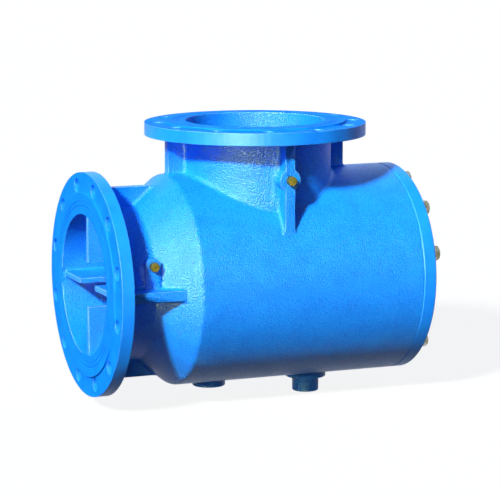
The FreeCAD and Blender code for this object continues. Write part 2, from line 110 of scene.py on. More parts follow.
# warm windows of light that only show as a sheen on the paint: a low one on necks and rims, and one at
# the key light on the cone; bare metal would glare in them, so only the painted castings take them
sheenLamps = {"lowSheen": {"direction": (0.62, 0.785, -0.02), "strength": 46.0, "angle": 30.0,
                           "tint": sheenTint},
              "keySheen": {"direction": keyDirection, "strength": 10.0, "angle": 18.0, "tint": sheenTint}}
studio = {"ambient": 0.13, "floorShadow": 0.12, "floorReach": 40, "floorDrop": 0.5, "paper": "#F4F4F4",
          "bounced": "#141414"}


def aim(thing, direction):
    thing.rotation_euler = Vector(direction).to_track_quat("-Z", "Y").to_euler()


def addSun(name, direction, strength, angle, tint="#FFFFFF"):
    lamp = bpy.data.lights.new(name, "SUN")
    lamp.energy = strength
    lamp.angle = math.radians(angle)
    lamp.color = colour(tint)[:3]
    thing = bpy.data.objects.new(name, lamp)
    scene.collection.objects.link(thing)
    aim(thing, direction)
    return thing


cameraData = bpy.data.cameras.new("camera")
cameraData.lens = view["lens"]
cameraData.clip_end = view["reach"]
camera = bpy.data.objects.new("camera", cameraData)
scene.collection.objects.link(camera)
camera.location = view["place"]
aim(camera, view["towards"])
scene.camera = camera

for name, lamp in lamps.items():
    addSun(name, **lamp)
sheenLit = bpy.data.collections.new("sheenLit")
for name, lamp in sheenLamps.items():
    window = addSun(name, **lamp)
    window.visible_diffuse = False
    window.light_linking.receiver_collection = sheenLit


def brightRays(tree):
    # camera, glossy and transmission rays see the white background
    path = add(tree, "ShaderNodeLightPath")
    cameraOrGlossy = add(tree, "ShaderNodeMath", {
        0: path.outputs["Is Camera Ray"], 1: path.outputs["Is Glossy Ray"]}, operation="MAXIMUM")
    return add(tree, "ShaderNodeMath", {0: cameraOrGlossy, 1: path.outputs["Is Transmission Ray"]},
               operation="MAXIMUM")


def studioWorld():
    world = bpy.data.worlds.new("studio")
    scene.world = world
    world.use_nodes = True
    tree = world.node_tree
    tree.nodes.clear()
    bright = brightRays(tree)
    level = add(tree, "ShaderNodeMapRange", {"Value": bright, "To Min": studio["ambient"], "To Max": 1.0})
    tint = add(tree, "ShaderNodeMix", {0: bright, 6: colour(shadeTint), 7: colour("#FFFFFF")},
               data_type="RGBA")
    sky = add(tree, "ShaderNodeBackground", {"Color": tint.outputs[2], "Strength": level})
    add(tree, "ShaderNodeOutputWorld", {"Surface": sky})


def studioFloor():
    material, tree = newMaterial("whitePaperFloor")  # matt paper, kept white, that still takes the shadow
    matt = add(tree, "ShaderNodeBsdfDiffuse", {"Color": colour(studio["paper"])})
    glow = add(tree, "ShaderNodeEmission", {"Color": colour("#FFFFFF"), "Strength": 1.0})
    seen = add(tree, "ShaderNodeMixShader", {0: 1 - studio["floorShadow"], 1: matt, 2: glow})
    dark = add(tree, "ShaderNodeBsdfDiffuse", {"Color": colour(studio["bounced"])})
    mixed = add(tree, "ShaderNodeMixShader", {0: brightRays(tree), 1: dark, 2: seen})
    add(tree, "ShaderNodeOutputMaterial", {"Surface": mixed})
    reach = studio["floorReach"]
    low = cadBox[0][2] - studio["floorDrop"] * mm  # a hair below the drain boss
    mesh = bpy.data.meshes.new("floor")
    corners = [(-reach, -reach, low), (reach, -reach, low), (reach, reach, low), (-reach, reach, low)]
    mesh.from_pydata(corners, [], [(0, 1, 2, 3)])
    mesh.materials.append(material)
    floor = bpy.data.objects.new("floor", mesh)
    scene.collection.objects.link(floor)


studioWorld()
studioFloor()
print("scene: camera, light and floor set")

# sizes in millimetres; real orange peel is 1 to 2 mm wide and is drawn at 2.6, so that it shows
# the edge colour is a painted highlight, and the sharp edges are paled towards it
paint = {"base": "#1090FF", "deep": "#0B80F2", "light": "#1A9CFF", "edge": "#C0ECFF", "spread": 0.13,
         "grain": 2.6, "fineGrain": 1.3, "fineShare": 0.22, "height": 1.6, "blotch": 40, "blotchShare": 0.3,
         "edgeRound": 1.8, "highlightEdgeTurn": (0.72, 0.97)}

# how each surface under the paint shows through: the strength of its grain, its speckle (partly painted
# shade in the grain's pits), where its blue lies between deep and light, how strongly a painted highlight
# pales its edges, roughness and specular level
castSkin = {"grain": 1.0, "speckle": 0.55, "middle": 0.42, "edge": 1.0, "roughness": (0.33, 0.38),
            "specular": 0.14}
turnedRim = {"grain": 0.08, "speckle": 0.0, "middle": 0.15, "edge": 0.5, "roughness": (0.40, 0.44),
             "specular": 0.15}
machinedFace = {"grain": 0.08, "speckle": 0.0, "middle": 0.26, "edge": 0.0, "roughness": (0.6, 0.68),
                "specular": 0.02}


def epoxyPaint(name, surface):
    # two-pack epoxy sprayed on cast iron: deep even blue, soft gloss, orange peel over the sand-cast skin,
    # and a painted highlight that pales the sharp edges
    material, tree = newMaterial(name)
    spot = add(tree, "ShaderNodeTexCoord").outputs["Object"]
    blotch = add(tree, "ShaderNodeTexNoise", {
        "Vector": spot, "Scale": perSize(paint["blotch"]), "Detail": 3.0})
    grain = add(tree, "ShaderNodeTexNoise", {
        "Vector": spot, "Scale": perSize(paint["grain"]), "Detail": 0.0})
    fine = add(tree, "ShaderNodeTexNoise", {
        "Vector": spot, "Scale": perSize(paint["fineGrain"]), "Detail": 1.0})
    # speckle that follows the grain: partly random tone and partly painted shade and light, with pits darker
    # and crests lighter
    grainShadeSpeckle = add(tree, "ShaderNodeMath", {0: grain, 1: surface["speckle"]}, operation="MULTIPLY")
    shade = add(tree, "ShaderNodeMath", {0: blotch, 1: paint["blotchShare"], 2: grainShadeSpeckle},
                operation="MULTIPLY_ADD")
    middle, spread = surface["middle"], paint["spread"]
    body = add(tree, "ShaderNodeValToRGB", {"Fac": shade}, stops=[
        (middle - spread, paint["deep"]), (middle, paint["base"]), (middle + spread, paint["light"])])
    # painted highlight: where the rounded normal turns away from the plain one, at the edges, the blue is
    # mixed towards the pale edge colour
    rounded = add(tree, "ShaderNodeBevel", {"Radius": paint["edgeRound"] * mm}, samples=8)
    plain = add(tree, "ShaderNodeNewGeometry").outputs["Normal"]
    facing = add(tree, "ShaderNodeVectorMath", {0: rounded, 1: plain}, operation="DOT_PRODUCT")
    least, most = paint["highlightEdgeTurn"]
    edge = add(tree, "ShaderNodeMapRange", {"Value": facing.outputs["Value"], "From Min": least,
                                            "From Max": most, "To Min": surface["edge"], "To Max": 0.0})
    base = add(tree, "ShaderNodeMix", {0: edge, 6: body, 7: colour(paint["edge"])}, data_type="RGBA")
    low, high = surface["roughness"]
    gloss = add(tree, "ShaderNodeMapRange", {"Value": blotch, "To Min": low, "To Max": high})
    height = add(tree, "ShaderNodeMath", {0: fine, 1: paint["fineShare"], 2: grain},
                 operation="MULTIPLY_ADD")
    bump = add(tree, "ShaderNodeBump", {"Height": height, "Distance": paint["height"] * mm,
                                        "Strength": surface["grain"], "Normal": rounded})
    shader = add(tree, "ShaderNodeBsdfPrincipled", {
        "Base Color": base.outputs[2], "Roughness": gloss, "Normal": bump,
        "Specular IOR Level": surface["specular"], "IOR": 1.5})
    add(tree, "ShaderNodeOutputMaterial", {"Surface": shader})
    return material


# zinc electroplate on forged steel: pale grey with an olive cast and a faint cloudiness
plating = {"dull": "#6C6A4E", "base": "#8E8C78", "bright": "#B9B8C6", "stops": (0.3, 0.5, 0.75),
           "cloud": 9, "fine": 0.75, "roughness": (0.26, 0.42), "edgeRound": 0.8, "height": 0.05,
           "strength": 0.6}
# free-cutting brass, turned from hexagon bar and tarnished: olive yellow, finely scratched
brassLook = {"dull": "#5F5A1C", "base": "#8A7F2C", "bright": "#B8A950", "stops": (0.3, 0.52, 0.8),
             "cloud": 7, "fine": 0.6, "roughness": (0.24, 0.38), "edgeRound": 0.6, "height": 0.04,
             "strength": 0.5}


def tarnishedMetal(name, look):
    # small machined parts: colour and gloss that cloud a little, fine scratches, edges worn round
    material, tree = newMaterial(name)
    spot = add(tree, "ShaderNodeTexCoord").outputs["Object"]
    cloud = add(tree, "ShaderNodeTexNoise", {"Vector": spot, "Scale": perSize(look["cloud"]), "Detail": 4.0})
    fine = add(tree, "ShaderNodeTexNoise", {"Vector": spot, "Scale": perSize(look["fine"]), "Detail": 2.0})
    colours = (look["dull"], look["base"], look["bright"])
    base = add(tree, "ShaderNodeValToRGB", {"Fac": cloud}, stops=list(zip(look["stops"], colours)))
    low, high = look["roughness"]
    gloss = add(tree, "ShaderNodeMapRange", {"Value": cloud, "To Min": low, "To Max": high})
    rounded = add(tree, "ShaderNodeBevel", {"Radius": look["edgeRound"] * mm}, samples=6)
    bump = add(tree, "ShaderNodeBump", {"Height": fine, "Distance": look["height"] * mm,
                                        "Strength": look["strength"], "Normal": rounded})
    shader = add(tree, "ShaderNodeBsdfPrincipled",
                 {"Base Color": base, "Metallic": 1.0, "Roughness": gloss, "Normal": bump})
    add(tree, "ShaderNodeOutputMaterial", {"Surface": shader})
    return material


stainless = {"dull": "#74746F", "base": "#8F8F8B", "bright": "#A8A8A4", "stops": (0.55, 0.8, 1.0),
             "lineShare": 0.6, "cloud": 60, "height": 0.06, "strength": 0.5}
# the finish of each form: width of its lines, how far they stretch along X, Y and Z, and roughness
rolledForm = {"line": 0.8, "stretch": (0.04, 1.0, 1.0), "roughness": (0.28, 0.42)}
turnedForm = {"line": 0.6, "stretch": (1.0, 0.06, 0.06), "roughness": (0.20, 0.32)}
drawnForm = {"line": 0.5, "stretch": (1.0, 1.0, 1.0), "roughness": (0.30, 0.45)}


def brushedStainless(name, form):
    # austenitic stainless, rolled or turned: neutral grey, with lines along the working direction
    material, tree = newMaterial(name)
    spot = add(tree, "ShaderNodeTexCoord").outputs["Object"]
    drawn = add(tree, "ShaderNodeMapping", {"Vector": spot, "Scale": form["stretch"]})
    lines = add(tree, "ShaderNodeTexNoise", {"Vector": drawn, "Scale": perSize(form["line"]), "Detail": 3.0})
    cloud = add(tree, "ShaderNodeTexNoise", {
        "Vector": spot, "Scale": perSize(stainless["cloud"]), "Detail": 3.0})
    mixed = add(tree, "ShaderNodeMath", {0: lines, 1: stainless["lineShare"], 2: cloud},
                operation="MULTIPLY_ADD")
    colours = (stainless["dull"], stainless["base"], stainless["bright"])
    base = add(tree, "ShaderNodeValToRGB", {"Fac": mixed}, stops=list(zip(stainless["stops"], colours)))
    low, high = form["roughness"]
    gloss = add(tree, "ShaderNodeMapRange", {"Value": lines, "To Min": low, "To Max": high})
    bump = add(tree, "ShaderNodeBump", {"Height": lines, "Distance": stainless["height"] * mm,
                                        "Strength": stainless["strength"]})
    shader = add(tree, "ShaderNodeBsdfPrincipled",
                 {"Base Color": base, "Metallic": 1.0, "Roughness": gloss, "Normal": bump})
    add(tree, "ShaderNodeOutputMaterial", {"Surface": shader})
    return material


rubberLook = {"stops": [(0.35, "#141414"), (0.7, "#26262A")], "bloom": 9, "roughness": (0.5, 0.7),
              "height": 0.1, "strength": 0.3, "specular": 0.4}


def mouldedRubber(look):
    # nitrile rubber ring: near black, matt, with the faint bloom of moulding
    material, tree = newMaterial("nitrileRubber")
    spot = add(tree, "ShaderNodeTexCoord").outputs["Object"]
    bloom = add(tree, "ShaderNodeTexNoise", {"Vector": spot, "Scale": perSize(look["bloom"]), "Detail": 4.0})
    base = add(tree, "ShaderNodeValToRGB", {"Fac": bloom}, stops=look["stops"])
    low, high = look["roughness"]
    gloss = add(tree, "ShaderNodeMapRange", {"Value": bloom, "To Min": low, "To Max": high})
    bump = add(tree, "ShaderNodeBump", {"Height": bloom, "Distance": look["height"] * mm,
                                        "Strength": look["strength"]})
    shader = add(tree, "ShaderNodeBsdfPrincipled", {
        "Base Color": base, "Roughness": gloss, "Normal": bump, "Specular IOR Level": look["specular"]})
    add(tree, "ShaderNodeOutputMaterial", {"Surface": shader})
    return material


fibreLook = {"stops": [(0.4, "#2E3A34"), (0.8, "#46534A")], "fibre": 1.4, "cloud": 5, "fibreShare": 0.5,
             "roughness": 0.82, "height": 0.15, "strength": 0.4}


def fibreSheet(look):
    # compressed fibre gasket sheet: dull green-grey, speckled with fibres
    material, tree = newMaterial("compressedFibre")
    spot = add(tree, "ShaderNodeTexCoord").outputs["Object"]
    fibres = add(tree, "ShaderNodeTexVoronoi", {"Vector": spot, "Scale": perSize(look["fibre"])})
    cloud = add(tree, "ShaderNodeTexNoise", {"Vector": spot, "Scale": perSize(look["cloud"]), "Detail": 5.0})
    mixed = add(tree, "ShaderNodeMath", {0: fibres, 1: look["fibreShare"], 2: cloud},
                operation="MULTIPLY_ADD")
    base = add(tree, "ShaderNodeValToRGB", {"Fac": mixed}, stops=look["stops"])
    bump = add(tree, "ShaderNodeBump", {"Height": mixed, "Distance": look["height"] * mm,
                                        "Strength": look["strength"]})
    shader = add(tree, "ShaderNodeBsdfPrincipled", {
        "Base Color": base, "Roughness": look["roughness"], "Normal": bump})
    add(tree, "ShaderNodeOutputMaterial", {"Surface": shader})
    return material


castPaint = epoxyPaint("epoxyOnCastSkin", castSkin)
rimPaint = epoxyPaint("epoxyOnTurnedRim", turnedRim)
facePaint = epoxyPaint("epoxyOnMachinedFace", machinedFace)
boltSteel = tarnishedMetal("zincPlatedSteel", plating)
plugBrass = tarnishedMetal("turnedBrass", brassLook)
rolledSheet = brushedStainless("rolledStainlessSheet", rolledForm)
turnedSteel = brushedStainless("turnedStainless", turnedForm)
drawnWire = brushedStainless("drawnStainlessWire", drawnForm)
ringRubber = mouldedRubber(rubberLook)
gasketFibre = fibreSheet(fibreLook)
print("scene: finishes made")


def newObject(name, mesh):
    thing = bpy.data.objects.new(name, mesh)
    scene.collection.objects.link(thing)
    return thing


def shadeByAngle(mesh, degrees):
    mesh.polygons.foreach_set("use_smooth", [True] * len(mesh.polygons))
    mesh.set_sharp_from_angle(angle=math.radians(degrees))


def finishPiece(thing, body, slot, *replaced):
    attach(thing, body)
    if replaced:
        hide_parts(*replaced)


# where the flanges' faces and turned rims and the cast pan of the cover begin, in millimetres, and how the
# copies of the nodes are joined and shaded
casting = {"outletBack": 29.0, "outletFace": 4.5, "inletX": 377.0, "inletBack": 295.0, "inletFace": 319.0,
           "neck": 146.0, "coverPan": 165.0, "coverWeb": 680.0, "seam": 678.5, "same": 0.002,
           "sharpAngle": 24, "normalWeight": 60}


def copyOfNode(node, name):
    mesh = nodes[node].data.copy()
    work = bmesh.new()
    work.from_mesh(mesh)
    bmesh.ops.remove_doubles(work, verts=work.verts, dist=casting["same"] * mm)
    work.to_mesh(mesh)
    work.free()
    mesh.name = name
    mesh.materials.clear()
    return mesh


def weighNormals(thing):
    modifier = thing.modifiers.new("weighNormals", "WEIGHTED_NORMAL")
    modifier.keep_sharp = True
    modifier.weight = casting["normalWeight"]


def paintedCasting(node, name, body, finishes, finishAt):
    mesh = copyOfNode(node, name)
    shadeByAngle(mesh, casting["sharpAngle"])
    for finish in finishes:
        mesh.materials.append(finish)
    for face in mesh.polygons:
        face.material_index = finishAt(*(value / mm for value in face.center))
    thing = newObject(name, mesh)
    sheenLit.objects.link(thing)
    weighNormals(thing)
    finishPiece(thing, body, "casting_paint", node)


def bodyFinish(x, y, z):
    # 0 cast skin, 1 turned rim, 2 machined face
    if x < casting["outletFace"] or z > casting["inletFace"] or x > casting["seam"]:
        return 2
    onOutlet = x < casting["outletBack"] and math.hypot(y, z) > casting["neck"]
    onInlet = z > casting["inletBack"] and math.hypot(x - casting["inletX"], y) > casting["neck"]
    return 1 if onOutlet or onInlet else 0


def coverFinish(x, y, z):
    inPan = math.hypot(y, z) < casting["coverPan"] and x > casting["coverWeb"]
    return 0 if inPan else 1


paintedCasting("body_casting", "bodyCasting", "body", (castPaint, rimPaint, facePaint), bodyFinish)
paintedCasting("cover_casting", "coverCasting", "cover", (castPaint, rimPaint), coverFinish)
print("scene: castings dressed")


def circleAngles(sides):
    return [2 * math.pi * k / sides for k in range(sides)]


def about(x, radius, angle):
    # a point about the X axis: angle zero is up, and it grows towards -Y
    return x, -radius * math.sin(angle), radius * math.cos(angle)


def hexagonRadius(flats, angle):
    # from the centre of a hexagon to its outline
    near = (angle + math.pi / 6) % (math.pi / 3) - math.pi / 6
    return flats / 2 / math.cos(math.pi / 6 - abs(near))


def stitch(work, lower, upper):
    # quads between two rings of as many points
    for k in range(len(lower)):
        j = (k + 1) % len(lower)
        work.faces.new([lower[k], lower[j], upper[j], upper[k]])


def capRing(work, ring, x):
    middle = work.verts.new((x, 0, 0))
    for k in range(len(ring)):
        work.faces.new([ring[k], middle, ring[(k + 1) % len(ring)]])


def latheRows(work, profile, sides, closed=False):
    # turns (x, radius) pairs about X; a radius of zero becomes one point
    rows = []
    for x, radius in profile:
        if radius:
            rows.append([work.verts.new(about(x, radius, a)) for a in circleAngles(sides)])
        else:
            rows.append([work.verts.new((x, 0, 0))])
    pairs = list(zip(rows, rows[1:] + rows[:1] if closed else rows[1:]))
    for low, high in pairs:
        for k in range(sides):
            j = (k + 1) % sides
            corners = [low[k % len(low)], low[j % len(low)], high[j % len(high)], high[k % len(high)]]
            unique = list(dict.fromkeys(corners))
            if len(unique) > 2:
                work.faces.new(unique)
    return rows


def threadWall(work, start, length, radius, pitch, depth, sides):
    # one-start helix from start along X, flat at both ends; its rows are half a pitch apart, and the end of
    # a row meets the start of the row a whole pitch on
    count = int(length / pitch * 2) + 4
    rows = []
    for row in range(count):
        line = []
        for k in range(sides):
            x = (row / 2 - 1 + k / sides) * pitch
            edge = x <= 0 or x >= length
            r = radius - depth if row % 2 == 0 or edge else radius
            line.append(work.verts.new(about(start + min(max(x, 0), length), r, 2 * math.pi * k / sides)))
        rows.append(line)
    for row in range(count - 1):
        for k in range(sides):
            last = k == sides - 1
            step = 2 if last else 0
            if row + 1 + step >= count:
                continue
            j = 0 if last else k + 1
            work.faces.new([rows[row][k], rows[row + step][j], rows[row + 1 + step][j], rows[row + 1][k]])


# hexagon heads: the turned face as a share of the flats, its dish as a share of the face, and the slope of
# the cut corners in degrees
headShape = {"sides": 48, "faceShare": 0.95, "dishShare": 0.86, "slope": 30}


def hexHead(work, flats, height, dish):
    # hexagon head on x = 0 with turned-off corners and a shallow turned dish on top
    face = flats / 2 * headShape["faceShare"]
    slope = math.tan(math.radians(headShape["slope"]))
    angles = circleAngles(headShape["sides"])
    outline = [(hexagonRadius(flats, a), a) for a in angles]
    low = [work.verts.new(about(0, r, a)) for r, a in outline]
    shoulder = [work.verts.new(about(height - (r - face) * slope, r, a)) for r, a in outline]
    top = [work.verts.new(about(height, face, a)) for a in angles]
    inner = [work.verts.new(about(height - dish, face * headShape["dishShare"], a)) for a in angles]
    for lower, upper in ((low, shoulder), (shoulder, top), (top, inner)):
        stitch(work, lower, upper)
    capRing(work, inner, height - dish)
    return low


def plainMesh(work, name):
    mesh = bpy.data.meshes.new(name)
    work.to_mesh(mesh)
    work.free()
    return mesh


# in what is turned: points closer than these are joined or dropped, in millimetres, and edges that turn
# more than this many degrees shade sharp
lathe = {"same": 0.001, "speck": 0.0005, "sharpAngle": 32}


def meshFrom(work, name, material, degrees=lathe["sharpAngle"]):
    bmesh.ops.remove_doubles(work, verts=work.verts, dist=lathe["same"] * mm)
    bmesh.ops.dissolve_degenerate(work, edges=work.edges, dist=lathe["speck"] * mm)
    bmesh.ops.recalc_face_normals(work, faces=work.faces)
    mesh = plainMesh(work, name)
    mesh.materials.append(material)
    shadeByAngle(mesh, degrees)
    return mesh


def hexScrew(name, sizes, material):
    # screw along X with the underside of its head at x = 0 and its thread towards -X
    work = bmesh.new()
    radius, sides = sizes["thread"] / 2, sizes["sides"]
    low = hexHead(work, sizes["flats"], sizes["head"], sizes["dish"])
    neck, tip, lead, depth = sizes["plain"], -sizes["length"], sizes["lead"], sizes["depth"]
    latheRows(work, [(0, radius), (-neck, radius), (-neck, radius - depth)], sides)
    latheRows(work, [(tip + lead, radius - depth), (tip, radius - lead), (tip, 0)], sides)
    threadWall(work, tip + lead, sizes["length"] - neck - lead, radius, sizes["pitch"], depth, sides)
    capRing(work, low, 0)
    return meshFrom(work, name, material)


def turnTo(mesh, direction, origin):
    # a mesh made along X is turned to the direction and moved to the origin given
    turn = Vector((1, 0, 0)).rotation_difference(Vector(direction)).to_matrix().to_4x4()
    mesh.transform(Matrix.Translation(Vector(origin) * mm) @ turn)


def newTree(name, inputs):
    # a tree with these inputs, the names that a modifier knows them by, and their sockets inside the tree
    tree = bpy.data.node_groups.new(name, "GeometryNodeTree")
    tree.interface.new_socket("Geometry", in_out="OUTPUT", socket_type="NodeSocketGeometry")
    sockets = {}
    for label, kind in inputs.items():
        sockets[label] = tree.interface.new_socket(label, in_out="INPUT", socket_type="NodeSocket" + kind)
    names = {label: item.identifier for label, item in sockets.items()}
    return tree, names, tree.nodes.new("NodeGroupInput").outputs


def closeTree(tree, geometry, material):
    real = add(tree, "GeometryNodeRealizeInstances", {"Geometry": geometry})
    finished = add(tree, "GeometryNodeSetMaterial", {"Geometry": real, "Material": material})
    add(tree, "NodeGroupOutput", {"Geometry": finished})


def grow(name, tree, names, values):
    # runs a tree on an empty object and keeps its result as a plain mesh
    holder = newObject(name, bpy.data.meshes.new(name))
    modifier = holder.modifiers.new(name, "NODES")
    modifier.node_group = tree
    for label, value in values.items():
        modifier[names[label]] = value
    graph = bpy.context.evaluated_depsgraph_get()
    mesh = bpy.data.meshes.new_from_object(holder.evaluated_get(graph))
    bpy.data.objects.remove(holder)
    mesh.name = name
    return mesh


# axes of a circle about X: its first point up, then towards -Y
aboutX = Matrix(((0, 0, 1), (0, -1, 0), (1, 0, 0)))


def boltCircleTree():
    tree, names, given = newTree("boltCircle", {
        "Screw": "Object", "Radius": "Float", "Places": "Int", "Plane": "Float", "First Angle": "Vector",
        "Left Out": "Int", "Also Left Out": "Int", "Clocking": "Float", "Seed": "Int", "Finish": "Material"})
    circle = add(tree, "GeometryNodeMeshCircle", {"Vertices": given["Places"], "Radius": given["Radius"]})
    offset = add(tree, "ShaderNodeCombineXYZ", {"X": given["Plane"]})
    turned = add(tree, "GeometryNodeTransform", {"Geometry": circle, "Rotation": given["First Angle"],
                                                 "Translation": offset})
    index = add(tree, "GeometryNodeInputIndex")
    first, second = (
        add(tree, "FunctionNodeCompare", {2: index, 3: given[label]}, data_type="INT", operation="EQUAL")
        for label in ("Left Out", "Also Left Out"))
    either = add(tree, "FunctionNodeBooleanMath", {0: first, 1: second}, operation="OR")
    kept = add(tree, "GeometryNodeDeleteGeometry", {"Geometry": turned, "Selection": either})
    low = add(tree, "ShaderNodeMath", {0: given["Clocking"], 1: -1.0}, operation="MULTIPLY")
    clock = add(tree, "FunctionNodeRandomValue", {2: low, 3: given["Clocking"], "Seed": given["Seed"]},
                data_type="FLOAT")
    spin = add(tree, "ShaderNodeCombineXYZ", {"X": clock.outputs[1]})
    screw = add(tree, "GeometryNodeObjectInfo", {"Object": given["Screw"]})
    placed = add(tree, "GeometryNodeInstanceOnPoints", {
        "Points": kept, "Instance": screw.outputs["Geometry"], "Rotation": spin})
    closeTree(tree, placed, given["Finish"])
    return tree, names


circlePlaces = {"Radius": 197 * mm, "Places": 12, "Left Out": 3, "Also Left Out": 8, "Seed": 5,
                "First Angle": (aboutX @ Matrix.Rotation(math.radians(15), 3, "Z")).to_euler()}


def boltCirclePiece(name, prototype, plane, clocking, finish, node, slot):
    tree, names = boltCircleTree()
    screw = newObject(name + "One", prototype)
    mesh = grow(name, tree, names, {**circlePlaces, "Screw": screw, "Plane": plane * mm,
                                    "Clocking": math.radians(clocking), "Finish": finish})
    bpy.data.objects.remove(screw)
    finishPiece(newObject(name, mesh), "cover_bolt_set", slot, node)


# M18 x 60 hexagon screw with a full-length thread, 2.5 mm pitch
coverScrew = {"thread": 18 * mm, "flats": 27 * mm, "head": 11.5 * mm, "dish": 0.25 * mm, "plain": 4 * mm,
              "length": 60 * mm, "lead": 1.6 * mm, "depth": 1.4 * mm, "pitch": 2.5 * mm, "sides": 36,
              "plane": 697, "clocking": 4}
coverWasher = {"outer": 17, "inner": 9.5, "thick": 3, "edge": 0.35, "sides": 64, "plane": 694}


def washerMesh(name, sizes, material):
    work = bmesh.new()
    outer, inner, thick, edge = (sizes[key] * mm for key in ("outer", "inner", "thick", "edge"))
    profile = [(0, inner), (0, outer - edge), (edge, outer), (thick - edge, outer),
               (thick, outer - edge), (thick, inner + edge), (thick - edge, inner)]
    latheRows(work, profile, sizes["sides"], True)
    return meshFrom(work, name, material)


boltCirclePiece("coverBolts", hexScrew("coverBoltOne", coverScrew, boltSteel), coverScrew["plane"],
                coverScrew["clocking"], boltSteel, "cover_bolts", "plated_steel")
boltCirclePiece("coverWashers", washerMesh("coverWasherOne", coverWasher, boltSteel), coverWasher["plane"],
                0, boltSteel, "cover_washers", "plated_steel")
print("scene: cover bolts and washers placed")

# G 1/4 gauge plugs with a fibre washer under each head
gaugeScrew = {"thread": 13.2 * mm, "flats": 17 * mm, "head": 10.5 * mm, "dish": 0.4 * mm, "plain": 3 * mm,
              "length": 15.5 * mm, "lead": 1.4 * mm, "depth": 0.85 * mm, "pitch": 1.34 * mm, "sides": 36,
              "clock": 30}
gaugeWasher = {"outer": 9.5, "inner": 6.9, "thick": 1.5, "edge": 0.25, "sides": 64}
gaugePlaces = {"outlet": (92, -165, 57), "inlet": (377, -190, 218.5)}


def gaugePiece(side):
    x, y, z = gaugePlaces[side]
    screw = hexScrew(side + "GaugePlug", gaugeScrew, plugBrass)
    screw.transform(Matrix.Rotation(math.radians(gaugeScrew["clock"]), 4, "X"))
    turnTo(screw, (0, -1, 0), (x, y - gaugeWasher["thick"], z))
    finishPiece(newObject(side + "GaugePlug", screw), side + "_plug", "plug_brass", side + "_gauge_plug")
    ring = washerMesh(side + "PlugWasher", gaugeWasher, gasketFibre)
    turnTo(ring, (0, -1, 0), (x, y, z))
    finishPiece(newObject(side + "PlugWasher", ring), side + "_plug", "fibre_gasket", side + "_plug_washer")


gaugePiece("outlet")
gaugePiece("inlet")

drainLook = {"thread": 41.9, "depth": 1.3, "pitch": 2.31, "length": 18, "edge": 1.5, "socket": 19,
             "socketDepth": 11, "drillTip": 2, "sides": 72, "place": (493, 0, -256.8)}


def drainPiece():
    # parallel thread plug with a hexagon socket, its face just inside the boss
    work = bmesh.new()
    thread, depth, edge, length, socket, socketDepth = (
        drainLook[key] * mm for key in ("thread", "depth", "edge", "length", "socket", "socketDepth"))
    radius = thread / 2
    sides = drainLook["sides"]
    mouth, socketFloor = (
        [work.verts.new(about(x, hexagonRadius(socket, a), a)) for a in circleAngles(sides)]
        for x in (0, -socketDepth))
    rows = latheRows(work, [(0, radius - edge), (-edge, radius - depth)], sides)
    latheRows(work, [(edge - length, radius - depth), (-length, radius - edge), (-length, 0)], sides)
    threadWall(work, edge - length, length - 2 * edge, radius, drainLook["pitch"] * mm, depth, sides)
    stitch(work, rows[0], mouth)
    stitch(work, mouth, socketFloor)
    capRing(work, socketFloor, -socketDepth - drainLook["drillTip"] * mm)
    mesh = meshFrom(work, "drainPlug", plugBrass)
    turnTo(mesh, (0, 0, -1), drainLook["place"])
    finishPiece(newObject("drainPlug", mesh), "drain_plug_body", "plug_brass", "drain_plug")


drainPiece()
print("scene: plugs placed")

ringLook = {"low": 173.9, "high": 179.9, "start": 653.5, "end": 660.5, "points": 20, "sides": 160,
            "power": 2.6, "sharpAngle": 60}


def coverRingPiece():
    # nitrile ring, pressed a little flat between the groove and the rim
    work = bmesh.new()
    midX = (ringLook["start"] + ringLook["end"]) / 2
    midR = (ringLook["low"] + ringLook["high"]) / 2
    halfX = (ringLook["end"] - ringLook["start"]) / 2
    halfR = (ringLook["high"] - ringLook["low"]) / 2
    power = ringLook["power"]
    profile = []
    for a in circleAngles(ringLook["points"]):
        c, s = math.cos(a), math.sin(a)
        share = (abs(c) ** power + abs(s) ** power) ** (-1 / power)
        profile.append(((midX + halfX * share * c) * mm, (midR + halfR * share * s) * mm))
    latheRows(work, profile, ringLook["sides"], True)
    mesh = meshFrom(work, "coverRing", ringRubber, ringLook["sharpAngle"])
    finishPiece(newObject("coverRing", mesh), "cover", "rubber_ring", "cover_o_ring")


coverRingPiece()
print("scene: cover ring placed")

screenLook = {"outer": 150, "thick": 2.5, "start": 117.5, "end": 654.7, "firstRow": 144, "rows": 41,
              "around": 72, "rowPitch": 11.5, "hole": 8.0, "sharpAngle": 30}


def cellMesh(name, along, across, thick, hole):
    # one flat cell of sheet with a round hole: X along the barrel, Y round it, Z outwards; its border has
    # eight points, the corners and the middles of the sides
    work = bmesh.new()
    layers = []
    for z in (0, -thick):
        border, edge = [], []
        for k in range(8):
            c, s = math.cos(math.pi * k / 4), math.sin(math.pi * k / 4)
            border.append(work.verts.new((along / 2 * round(c), across / 2 * round(s), z)))
            edge.append(work.verts.new((hole / 2 * c, hole / 2 * s, z)))
        layers.append((border, edge))
    (topBorder, topEdge), (lowBorder, lowEdge) = layers
    for k in range(8):
        j = (k + 1) % 8
        work.faces.new([topBorder[k], topBorder[j], topEdge[j], topEdge[k]])
        work.faces.new([lowBorder[j], lowBorder[k], lowEdge[k], lowEdge[j]])
        work.faces.new([topEdge[k], topEdge[j], lowEdge[j], lowEdge[k]])
    return plainMesh(work, name)


def rimMesh(name, along, across, thick, closedSide):
    # plain strip of sheet, as wide as a cell, closed on one side: -1 at its low end, 1 at its high end
    work = bmesh.new()
    rows = []
    end = closedSide * along / 2
    for x, z in ((-end, 0), (end, 0), (end, -thick), (-end, -thick)):
        rows.append([work.verts.new((x, y, z)) for y in (-across / 2, 0, across / 2)])
    for low, high in zip(rows, rows[1:]):
        for k in range(2):
            corners = [low[k], high[k], high[k + 1], low[k + 1]]
            work.faces.new(corners if closedSide > 0 else corners[::-1])
    return plainMesh(work, name)


rolledSame = 0.02  # corners of neighbouring cells that are closer than this become one, in millimetres


